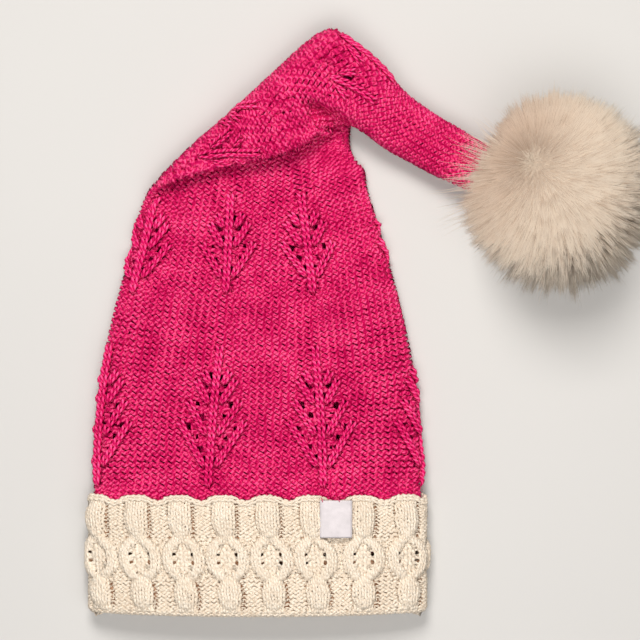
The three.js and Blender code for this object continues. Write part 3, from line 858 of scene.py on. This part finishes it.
def cuffRows(knit):
    (ribMore, ribPeak), (purlMore, purlPeak) = knit["ribYarn"], knit["purlYarn"]
    wide, widest = knit["wideStitch"]
    rows = []
    for down in np.arange(knit["firstRow"], knit["lastRow"], knit["rowHeight"]):
        y = float(cuffProfile(np.array(down))[0])
        walked, lift, depth, thick = [], [], [], []
        for a, w, ribbed, slack in cuffStitches(knit, y, down > cuffStraight):
            seen = np.interp((a + w / 2) % cuffLength, cuffWalked, cuffQ) > knit["seenFrom"]
            t, swing, peak, sway = stitchWave(stitchPoints if seen else stitchPointsUnder)
            slip = rng.normal(0, knit["unevenness"], 3)
            walked.append(a + w * t + knit["bowOut"] * min(w, knit["bowMost"]) * sway + slip[0])
            if ribbed:  # knit stitch, legs to the front
                lift.append(knit["reach"] * knit["rowHeight"] * swing + slip[1])
                depth.append(-knit["swing"] * peak * min(1.0, w / knit["narrow"]) + slipDepth * slip[2])
                thick.append((knit["yarn"] + ribMore + ribPeak * peak) * min(max(w / wide, 1.0), widest))
            else:  # purl stitch, bars to the front
                lift.append(knit["reach"] * knit["rowHeight"] * np.sign(swing) + slip[1])
                depth.append(knit["purlTop"] + knit["purlPlunge"] * np.minimum(peak, 0)
                             - knit["purlEnds"] * (1 - np.maximum(peak, 0)) + slipDepth * slip[2])
                thick.append((knit["yarn"] + purlMore + purlPeak * peak) * slack)
        walked, lift, depth, thick = joined(walked, lift, depth, thick)
        rows.append((down + lift, walked, knit["level"] + depth, thick))
    return rows


def buildCuffKnit(knit):
    rows = cuffRows(knit)
    down, walked, height = (np.concatenate([r[i] for r in rows]) for i in range(3))
    for dx, y in knit["eyelets"]:
        for middle in ribMiddles(np.array(y)):
            x, z = nearWay(walked - middle - dx, cuffLength), down - (knit["top"] - y)
            push = pushAway(x, z, knit["eyelet"], knit["eyeletReach"]) - 1
            walked, down = walked + x * push, down + z * push
    relief, drop = cuffRelief(walked, cuffProfile(down)[0])
    plainFrom = knit["top"] - knit["bottom"] + knit["reliefPast"]
    relief = np.where(down > plainFrom, 0, relief)  # plain inside the fold
    points, normals = onCuff(down + drop, walked / cuffLength, height + relief)
    keepAbove(points, knit["yarn"])
    return rowPieces(rows, points, normals, 1, knit["pieces"], creamYarn, "cream_knit")


# the cuff's cloth: a band behind the yarn, round the fold and up inside as the plain leaf
cuffCloth = {"first": 1.5, "rows": 44, "columns": 192, "depth": -2.1, "thick": 0.8, "follow": 0.8,
             "insideShare": 0.25, "lowest": 0.4, "hole": 1.9}


def buildCuffCloth(cloth, knit):
    turned = math.pi * knit["foldRadius"]
    longest = cuffStraight + turned + knit["innerTop"] - (knit["bottom"] + knit["foldRadius"])
    down, n = np.linspace(cloth["first"], longest, cloth["rows"] + 1), cloth["columns"]
    d, f = gridOf(down, np.arange(n) / n)
    inside = d > cuffStraight + turned / 2
    relief, drop = (np.where(inside, 0, v) for v in cuffRelief(f * cuffLength, cuffProfile(d)[0]))
    height = relief * cloth["follow"] + cloth["depth"] * np.where(inside, cloth["insideShare"], 1)
    points = onCuff(d + drop, f, height)[0]
    keepAbove(points, cloth["lowest"])
    i, j, faces = gridFaces(cloth["rows"], n, True)
    middleD, middleW = (down[i] + down[i + 1]) / 2, (j + 0.5) / n * cuffLength
    middleY, outside = cuffProfile(middleD)[0], middleD < cuffStraight
    keep = np.ones(len(faces), bool)
    for dx, y in knit["eyelets"]:
        for middle in ribMiddles(np.array(y)):
            x = nearWay(middleW - middle - dx, cuffLength)
            keep &= ~(outside & (np.hypot(x, middleY - y) < cloth["hole"]))
    piece = meshPiece("cuffCloth", points, faces[keep])
    # the outer leaf and the pocket behind it are seen only between the stitches and through the eyelets:
    # painted shade, a dark brown standing in for the shade there
    dress(piece, "cream_knit", creamCloth, creamGapShade, creamGapShade)
    piece.data.polygons.foreach_set("material_index", outside[keep].astype(np.int32))
    thicken(piece, cloth["thick"], -1, 1)
    return piece


# bound-off edge: a chain of stitches lying along the scallops
cuffEdge = {"pitch": 4.6, "width": 3.2, "middle": 0.9, "forth": (-0.4, 1.45), "aside": (0.1, 0.42),
            "level": -1.95, "rise": 1.9, "arch": (0.05, 0.8), "outerLow": 0.5, "uneven": 0.15,
            "taper": [0.5, 0.9, 1.05, 1.0, 0.6]}


def buildCuffEdge(edge, knit):
    count = int(cuffLength / edge["pitch"])
    taper = np.array(edge["taper"])
    t = np.linspace(0, 1, len(taper))
    arch = edge["rise"] * np.sin(math.pi * lineAt(edge["arch"], t))
    walked, down, height, size = [], [], [], []
    for k in range(count):
        for hand in (-1, 1):
            walked.append((k + edge["forth"][0] + edge["forth"][1] * t) * cuffLength / count)
            aside = hand * lineAt(edge["aside"], t**0.8) * edge["width"]
            down.append(edge["middle"] + aside + rng.normal(0, edge["uneven"]))
            height.append(edge["level"] + arch - edge["outerLow"] * (hand < 0))
            size.append(knit["yarn"] * taper)
    walked, down, height = joined(walked, down, height)
    relief, drop = cuffRelief(walked, knit["top"] - np.maximum(down, 0))
    points, normals = onCuff(down + drop, walked / cuffLength, height + relief)
    return legPiece("cuffEdge", points, normals, size, knit["yarn"], "cream_knit", creamYarn)


cuffPieces = buildCuffKnit(cuffKnit)
cuffPieces.append(buildCuffEdge(cuffEdge, cuffKnit))
report("cuff knit", *cuffPieces)
cuffBack = buildCuffCloth(cuffCloth, cuffKnit)
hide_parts("cuff")
report("cuff cloth", cuffBack)

# blank loop label, folded at its lower end
labelShape = {
    "width": 23.0, "top": 40.8, "bottom": 14.0, "front": 3.3, "back": 2.2, "thick": 0.35, "across": 12,
    "along": 44, "bend": 2.4, "bendOut": 0.5, "ripple": 0.35, "rippleBelow": 34, "droop": 0.25,
    "weave": 90, "grain": 180, "tones": [(0.3, (0.58, 0.54, 0.56)), (0.7, (0.67, 0.62, 0.645))],
    "stitchesAt": (-10.0, 2.0), "thread": 0.42,
}
labelMiddle = (bumps[0] + bumps[1]) / 2


def labelMaterial(shape):
    material, tree, shader = grainMaterial("labelTape", 0.6, 0.2, shape["grain"], shape["tones"])
    weave = addNode(tree, "TexChecker", {"Vector": strandMap(tree)[0], "Scale": shape["weave"]})
    addBump(tree, shader, weave.outputs["Fac"], 0.25, 0.0002)
    return material


def onLabel(aside, y, height):
    return onCuff(cuffKnit["top"] - y, (labelMiddle + aside) / cuffLength, height)[0]


def buildLabel(shape):
    long = shape["top"] - shape["bottom"]
    t = np.linspace(0, 2 * long, shape["along"] + 1)
    bend = np.clip((t - long + shape["bend"] / 2) / shape["bend"], 0, 1)
    y = shape["top"] - np.where(t < long, t, 2 * long - t)
    height = shape["front"] + (shape["back"] - shape["front"]) * bend
    height = height + shape["bendOut"] * np.sin(math.pi * bend)
    x = (np.linspace(0, 1, shape["across"] + 1) - 0.5) * shape["width"]
    yy, xx = np.meshgrid(y, x, indexing="ij")
    ripple = shape["ripple"] * np.sin(xx / 5.0 + 0.6) * (yy < shape["rippleBelow"])
    hh = height[:, None] + ripple - shape["droop"] * (xx / (shape["width"] / 2))**2
    i, j, faces = gridFaces(shape["along"], shape["across"], False)
    uv = (np.stack([j, i], -1)[:, None] + np.array([[0, 0], [0, 1], [1, 1], [1, 0]])) / shape["along"]
    piece = meshPiece("labelTab", onLabel(xx.ravel(), yy.ravel(), hh.ravel()), faces, uv.reshape(-1, 2))
    thicken(piece, shape["thick"], 0)
    return dress(piece, "label_cloth", labelMaterial(shape))


# two thread stitches that hold its upper corners
def buildLabelStitches(shape):
    t = np.linspace(-1, 1, 7)
    rows = [onLabel(x + 0.5 * t, shape["top"] + 0.4 - 1.6 * t, shape["front"] + 0.9 - 1.4 * t**2)
            for x in shape["stitchesAt"]]
    upright = [np.tile([0.0, 0.0, 1.0], (len(t), 1))] * len(rows)
    mesh = strands(rows, upright, [np.full(len(t), shape["thread"])] * len(rows), False)
    return dress(meshPiece("labelThread", *mesh), "label_cloth", pinkYarn)


label = buildLabel(labelShape)
labelThread = buildLabelStitches(labelShape)
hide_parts("label")
report("label", label, labelThread)

# fur pompom: a soft core under fine hair that is combed away from its whorl
pompomFur = {
    "middle": (213.5, 261.8, 61.0), "core": 54.0, "coreWave": 1.2, "root": 50.5, "tip": 72.0, "hairs": 62000,
    "clumps": 1300, "width": 0.32, "whorl": (-0.46, 0.37, 0.80), "lean": 1.15, "clumping": 0.95,
    "longSide": (0.45, -0.65, 0.0), "longer": 0.035, "tailSide": (-0.86, 0.50, 0.10), "parted": 14.0,
    "guardShare": 0.11, "guardLonger": (1.5, 7.0), "wispSide": (-0.95, 0.25, 0.20), "wispShare": 0.045,
    "wispLonger": (4, 30), "wispWithin": 0.86, "besideTail": 0.12, "knee": (0.45, 0.55), "bowOut": 1.6,
    "sag": 1.2, "through": 0.48, "lightFrom": 1.1,
    # unevenness of the roots, the clumps, their tips, single tips, the direction and the flat side of a hair
    "uneven": (0.012, 0.025, 0.045, 0.05, 0.06, 0.12),
    # painted shade: roots darker than tips, standing in for the shade deep among the hairs
    "rootToTip": [(0.0, (0.46, 0.37, 0.30)), (0.5, (0.73, 0.645, 0.55)), (1.0, (0.80, 0.735, 0.645))],
    # hair tone: random darker hairs, and painted shade round the whorl and toward the tail
    "darkHairsAndShade": [(0.0, (0.40, 0.32, 0.28)), (0.22, (0.74, 0.66, 0.62)), (0.65, (1, 1, 1))],
    # painted shade: the core under the hair is dark, standing in for the shade deep in the fur
    "furCoreShade": [(0.3, (0.36, 0.29, 0.225)), (0.7, (0.47, 0.39, 0.315))],
}


def furMaterial(fur):
    material, tree, shader = newMaterial("whiteFur")
    tree.nodes.remove(shader)
    alone, rootToTip = strandMap(tree)[1:]
    layers = {"Factor": 0.85, "A": addRamp(tree, rootToTip, fur["rootToTip"]),
              "B": addRamp(tree, alone, fur["darkHairsAndShade"])}
    tint = addNode(tree, "Mix", layers, data_type="RGBA", blend_type="MULTIPLY")
    lit, through = (addNode(tree, kind, {"Color": tint.outputs["Result"]}).outputs[0]
                    for kind in ("BsdfDiffuse", "BsdfTranslucent"))
    both = addNode(tree, "MixShader", {"Fac": fur["through"], 1: lit, 2: through})
    tree.links.new(both.outputs[0], tree.nodes["Material Output"].inputs["Surface"])
    return material


# places spread evenly over a ball
def spread(count):
    i = np.arange(count) + 0.5
    h = 1 - 2 * i / count
    r = np.sqrt(1 - h * h)
    a = math.pi * (3 - math.sqrt(5)) * i
    return np.stack([r * np.cos(a), r * np.sin(a), h], -1)


# hair direction: out, and away from the whorl
def combed(v, whorl, lean):
    away = v - whorl * (v @ whorl)[:, None]
    away = away / (np.linalg.norm(away, axis=1, keepdims=True) + 0.07)
    return unit(v + lean * away * (0.35 + 0.65 * np.clip(v @ whorl + 0.5, 0, 1))[:, None])


def buildFur(fur):
    middle, count = np.array(fur["middle"]), fur["hairs"]
    whorl, tailSide, wispSide = (unit(np.array(fur[side])) for side in ("whorl", "tailSide", "wispSide"))
    roots, clumps, clumpTips, tips, direction, flatSide = fur["uneven"]
    root = unit(spread(count) + rng.normal(0, roots, (count, 3)))
    clump = unit(spread(fur["clumps"]) + rng.normal(0, clumps, (fur["clumps"], 3)))
    longer = fur["longer"] * (clump @ np.array(fur["longSide"]))
    clumpReach = fur["tip"] * (1 + rng.normal(0, clumpTips, fur["clumps"]) + longer)
    owner = np.concatenate([np.argmax(part @ clump.T, 1) for part in np.array_split(root, 60)])
    guard = rng.random(count) < fur["guardShare"]
    towardTail, towardWhorl = root @ tailSide, root @ whorl
    # parted where the tail comes in, a few long wisps over it
    beside = np.exp((towardTail - 1) / fur["besideTail"])
    wisp = (root @ wispSide > fur["wispWithin"]) & (rng.random(count) < fur["wispShare"])
    reach = clumpReach[owner] * (1 - np.abs(rng.normal(0, tips, count)))
    reach = reach + guard * rng.uniform(*fur["guardLonger"], count) - fur["parted"] * beside
    reach = reach + wisp * rng.uniform(*fur["wispLonger"], count)
    guard = guard | wisp
    loose = rng.normal(0, direction, root.shape) * (1 + guard)[:, None]
    along = unit(combed(root, whorl, fur["lean"]) + loose)
    outward = np.sum(along * root, 1, keepdims=True)
    start = middle + root * fur["root"]
    away = start + along * ((reach - fur["root"])[:, None] / np.maximum(outward, 0.35)) - middle
    # smooth round the whorl, tufted at the rim
    gather = fur["clumping"] * (~guard) * (1 - np.clip(towardWhorl, 0, 1))
    pulled = unit(unit(away) + gather[:, None] * (clump[owner] - root))
    tip = middle + pulled * np.minimum(np.linalg.norm(away, axis=1), reach)[:, None]
    knee = start * fur["knee"][0] + tip * fur["knee"][1] - middle
    knee = middle + unit(knee) * (np.linalg.norm(knee, axis=1) + fur["bowOut"])[:, None]  # hair bows outward
    tip = tip - np.array([0, 0, fur["sag"]])
    side = unit(np.cross(along - root * outward, root) + rng.normal(0, flatSide, root.shape))
    thick = np.where(wisp, 1.1, np.where(guard, 0.75, 1)) + 0.25 * rng.standard_normal(count)
    wide = fur["width"] * 0.5 * side * thick[:, None]
    points = np.stack([start - wide, start + wide, knee - 0.8 * wide, knee + 0.8 * wide, tip], 1)
    keepAbove(points, 0.2 + 0.5 * rng.random((count, 1)))
    # painted shade: hairs darker round the whorl and on the side toward the tail, besides their random tone
    whorlShade, tailSideShade = 1 - 0.3 * np.exp((towardWhorl - 1) / 0.05), 1 - 0.75 * np.clip(towardTail, 0, 1)
    tone = rng.random(count)**0.4 * whorlShade * tailSideShade
    tone[wisp] = 0.9
    heights = np.array([[0, 0, 0.55], [0, 0.55, 0.55], [0.55, 0.55, 1.0]])
    # painted shade: near the whorl the hairs take more of the darker root colour
    heights = heights * (1 - 0.3 * np.exp((towardWhorl - 1) / 0.06))[:, None, None]
    uv = np.stack([np.broadcast_to(tone[:, None, None], heights.shape), heights], -1)
    soft = unit(unit(points - middle) + np.array([0, 0, fur["lightFrom"]]))  # lit softly, as a ball
    material = furMaterial(fur)
    made = []
    for name, half in (("pompomFurOne", slice(0, count // 2)), ("pompomFurTwo", slice(count // 2, count))):
        faces = ribbonFaces(len(points[half]))
        piece = meshPiece(name, points[half].reshape(-1, 3), faces, uv[half].reshape(-1, 2))
        piece.data.normals_split_custom_set_from_vertices(soft[half].reshape(-1, 3).tolist())
        piece.visible_shadow = False  # fine hair lets the light through
        made.append(dress(piece, "white_fur", material))
    return made


def buildFurCore(fur):
    bpy.ops.object.select_all(action="DESELECT")
    middle = np.array(fur["middle"])
    bpy.ops.mesh.primitive_ico_sphere_add(subdivisions=5, radius=fur["core"] * mm, location=middle * mm)
    core = bpy.context.object
    core.name = core.data.name = "pompomCore"
    bpy.ops.object.transform_apply(location=True, rotation=True, scale=True)
    co = np.empty(len(core.data.vertices) * 3)
    core.data.vertices.foreach_get("co", co)
    d = unit(co.reshape(-1, 3) / mm - middle)
    wave = np.sin(d @ np.array([31, 17, 23.0])) * np.sin(d @ np.array([-19, 29, 13.0]))
    p = middle + d * (fur["core"] + fur["coreWave"] * wave)[:, None]
    keepAbove(p, 0.5)
    core.data.vertices.foreach_set("co", (p * mm).ravel())
    core.data.update()
    bpy.ops.object.shade_smooth()
    core.data.materials.clear()
    # the core is painted dark, as shade under the hair
    return dress(core, "white_fur", grainMaterial("furCoreShade", 1.0, 0.0, 900, fur["furCoreShade"])[0])


furPieces = buildFur(pompomFur)
furCore = buildFurCore(pompomFur)
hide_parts("pompom")
report("fur", *furPieces, furCore)

# stray wool fibres standing off the knit, each a fine bent ribbon
fuzz = {"crown": 9000, "cuff": 4500, "long": (2.0, 6.5), "width": 0.11, "crownFrom": 46, "crownOver": 495,
        "crownLevel": -0.6, "cuffDown": 88, "cuffLevel": 0.8, "lowest": 0.3}


def buildFuzz(name, points, normals, material, slot):
    count = len(points)
    loose = rng.normal(0, 1, points.shape)
    loose = unit(loose - normals * np.sum(loose * normals, 1, keepdims=True))
    long = rng.uniform(*fuzz["long"], (count, 1))
    bend = unit(loose + 0.6 * rng.normal(0, 1, points.shape))
    knee = points + long * (0.35 * loose + 0.28 * normals)
    tip = knee + long * (0.5 * bend + 0.12 * normals)
    side = 0.5 * fuzz["width"] * unit(np.cross(loose, normals) + 0.3 * normals)
    rows = np.stack([points - side, points + side, knee - side, knee + side, tip], 1)
    keepAbove(rows, fuzz["lowest"])
    uv = np.tile(rng.random((count, 1, 2)), (1, 9, 1)).reshape(-1, 2)
    return dress(meshPiece(name, rows.reshape(-1, 3), ribbonFaces(count), uv), slot, material)


def crownFuzzRoots(count):
    along = fuzz["crownFrom"] + fuzz["crownOver"] * (1 - np.sqrt(rng.random(count))) ** 1.1
    return onCrown(along, rng.random(count), np.full(count, fuzz["crownLevel"]))


def cuffFuzzRoots(count):
    down, share = rng.uniform(0, fuzz["cuffDown"], count), rng.random(count)
    relief, drop = cuffRelief(share * cuffLength, cuffProfile(down)[0])
    return onCuff(down + drop, share, relief - fuzz["cuffLevel"])


crownFuzz = buildFuzz("crownFuzz", *crownFuzzRoots(fuzz["crown"]), pinkYarn, "pink_knit")
cuffFuzz = buildFuzz("cuffFuzz", *cuffFuzzRoots(fuzz["cuff"]), creamYarn, "cream_knit")
report("stray fibres", crownFuzz, cuffFuzz)

# pale floor and soft studio light
stageLook = {"floor": (0.60, 0.59, 0.58), "size": 4.0, "at": (0.045, 0.17, 0), "grain": 4, "darker": 0.98}
lampSetup = [
    {"name": "keyLight", "at": (-0.12, 1.35, 1.65), "size": 0.8, "power": 35, "colour": (1.0, 0.97, 0.93)},
    {"name": "fillLight", "at": (0.6, -0.45, 1.4), "size": 1.0, "power": 5, "colour": (1.0, 0.98, 0.95)},
    {"name": "topLight", "at": (-0.05, -0.2, 1.25), "size": 0.8, "power": 8.4, "colour": (1.0, 0.98, 0.95)}]
roomLight = {"colour": (1.0, 0.98, 0.95, 1), "strength": 0.16, "target": (0.06, 0.18, 0.02)}


def buildStage(look):
    bpy.ops.object.select_all(action="DESELECT")
    bpy.ops.mesh.primitive_plane_add(size=look["size"], location=look["at"])
    floor = bpy.context.object
    floor.name = "paleFloor"
    tones = [(0.3, tuple(c * look["darker"] for c in look["floor"])), (0.7, look["floor"])]
    floor.data.materials.append(grainMaterial("palePaper", 0.9, 0.0, look["grain"], tones)[0])


def addLamps(setup, room):
    for lamp in setup:
        bpy.ops.object.select_all(action="DESELECT")
        bpy.ops.object.light_add(type="AREA", location=lamp["at"])
        light = bpy.context.object
        light.name = lamp["name"]
        light.data.energy, light.data.size, light.data.color = lamp["power"], lamp["size"], lamp["colour"]
        light.rotation_euler = (Vector(room["target"]) - light.location).to_track_quat("-Z", "Y").to_euler()
    world = bpy.data.worlds.new("softRoom")
    world.use_nodes = True
    sky = world.node_tree.nodes["Background"].inputs
    sky["Color"].default_value, sky["Strength"].default_value = room["colour"], room["strength"]
    scene.world = world
    scene.view_settings.view_transform = "Standard"


buildStage(stageLook)
addLamps(lampSetup, roomLight)
print("stage and light")
